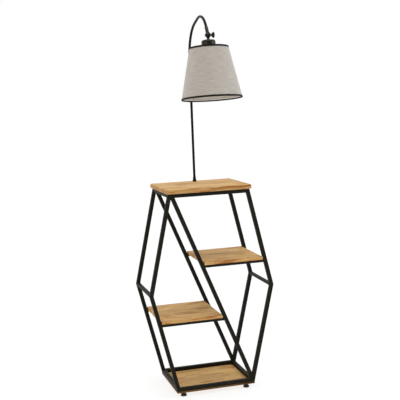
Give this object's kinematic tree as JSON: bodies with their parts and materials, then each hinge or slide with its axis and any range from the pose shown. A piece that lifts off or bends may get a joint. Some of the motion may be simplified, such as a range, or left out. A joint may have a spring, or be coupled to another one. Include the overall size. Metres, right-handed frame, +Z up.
{
  "type": "shelf floor lamp",
  "caption": "Floor lamp on a hexagonal black steel frame with wooden shelves between diagonals; a swan-neck pole on the top board carries a tilting fabric shade.",
  "frame": {"origin": "on the floor, under the middle of the steel frame", "axes": "+Z up, -Y to the front, the side over which the shade hangs, +X to the right as seen from the front"},
  "size_m": [0.5024, 0.4434, 1.467],
  "materials": {
    "black_frame_steel": "satin black powder coat",
    "black_pole_steel": "satin black",
    "pine_board": "clear-coated pine with reddish-brown grain",
    "zinc_steel": "zinc plated",
    "black_lead": "soft black",
    "black_plastic": "fine matt",
    "black_glide_plastic": "moulded black",
    "bronze_metal": "dark bronze, semi-gloss",
    "fibre_washer": "pressed fibre",
    "white_ceramic": "glazed",
    "brass_contact": "plain",
    "bulb_cap_metal": "bright",
    "frosted_glass": "frosted",
    "white_wire": "white",
    "linen": "grey-beige linen weave",
    "dark_tape": "dark brown woven tape"
  },
  "bodies": {
    "frame": {"front_bottom_rail": "black_frame_steel", "front_lower_right_leg": "black_frame_steel", "front_upper_right_leg": "black_frame_steel", "front_top_rail": "black_frame_steel", "front_upper_left_leg": "black_frame_steel", "front_lower_left_leg": "black_frame_steel", "front_diagonal": "black_frame_steel", "back_bottom_rail": "black_frame_steel", "back_lower_right_leg": "black_frame_steel", "back_upper_right_leg": "black_frame_steel", "back_top_rail": "black_frame_steel", "back_upper_left_leg": "black_frame_steel", "back_lower_left_leg": "black_frame_steel", "back_diagonal": "black_frame_steel", "top_side_rail_left": "black_frame_steel", "bottom_side_rail_left": "black_frame_steel", "knee_bar_left": "black_frame_steel", "top_side_rail_right": "black_frame_steel", "bottom_side_rail_right": "black_frame_steel", "knee_bar_right": "black_frame_steel", "upper_shelf_supports": "black_frame_steel", "lower_shelf_supports": "black_frame_steel", "upper_shelf": "pine_board", "lower_shelf": "pine_board", "shelf_screws": "zinc_steel", "top_board": "pine_board", "top_board_screws": "zinc_steel", "base_board": "pine_board", "base_board_screws": "zinc_steel", "foot_inserts": "zinc_steel", "pole": "black_pole_steel", "pole_lead": "black_lead", "pole_collar": "black_pole_steel", "pole_washer": "zinc_steel", "pole_nut": "zinc_steel", "cord_outlet": "black_plastic", "arm_ferrule": "bronze_metal", "knuckle_upper": "bronze_metal", "knuckle_washer": "fibre_washer", "knuckle_nut": "bronze_metal"},
    "lamp_head": {"knuckle_lower": "bronze_metal", "holder_cap": "bronze_metal", "lamp_holder": "black_plastic", "contact_block": "white_ceramic", "centre_contact": "brass_contact", "head_lead": "black_lead", "screw_shell": "brass_contact", "shade_clamp_ring": "black_plastic", "bulb_cap": "bulb_cap_metal", "bulb_glass": "frosted_glass", "shade_carrier": "white_wire", "shade_bottom_ring": "white_wire", "shade_fabric": "linen", "shade_trims": "dark_tape"},
    "wing_screw": {"wing_screw": "bronze_metal"},
    "foot_front_left": {"foot_front_left": "black_glide_plastic"},
    "foot_front_right": {"foot_front_right": "black_glide_plastic"},
    "foot_back_left": {"foot_back_left": "black_glide_plastic"},
    "foot_back_right": {"foot_back_right": "black_glide_plastic"}
  },
  "joints": [
    {"name": "head_tilt", "type": "hinge", "parent": "frame", "child": "lamp_head", "pos_m": [0.007, -0.1695, 1.3855], "axis": [1, 0, 0], "range_deg": [-120, 50]},
    {"name": "wing_screw_turn", "type": "hinge", "parent": "frame", "child": "wing_screw", "pos_m": [0.007, -0.1695, 1.3855], "axis": [1, 0, 0], "range_deg": [0, 360]},
    {"name": "foot_front_left_turn", "type": "hinge", "parent": "frame", "child": "foot_front_left", "pos_m": [-0.12942, -0.109, 0], "axis": [0, 0, 1], "continuous": true},
    {"name": "foot_front_right_turn", "type": "hinge", "parent": "frame", "child": "foot_front_right", "pos_m": [0.12942, -0.109, 0], "axis": [0, 0, 1], "continuous": true},
    {"name": "foot_back_left_turn", "type": "hinge", "parent": "frame", "child": "foot_back_left", "pos_m": [-0.12942, 0.109, 0], "axis": [0, 0, 1], "continuous": true},
    {"name": "foot_back_right_turn", "type": "hinge", "parent": "frame", "child": "foot_back_right", "pos_m": [0.12942, 0.109, 0], "axis": [0, 0, 1], "continuous": true}
  ]
}
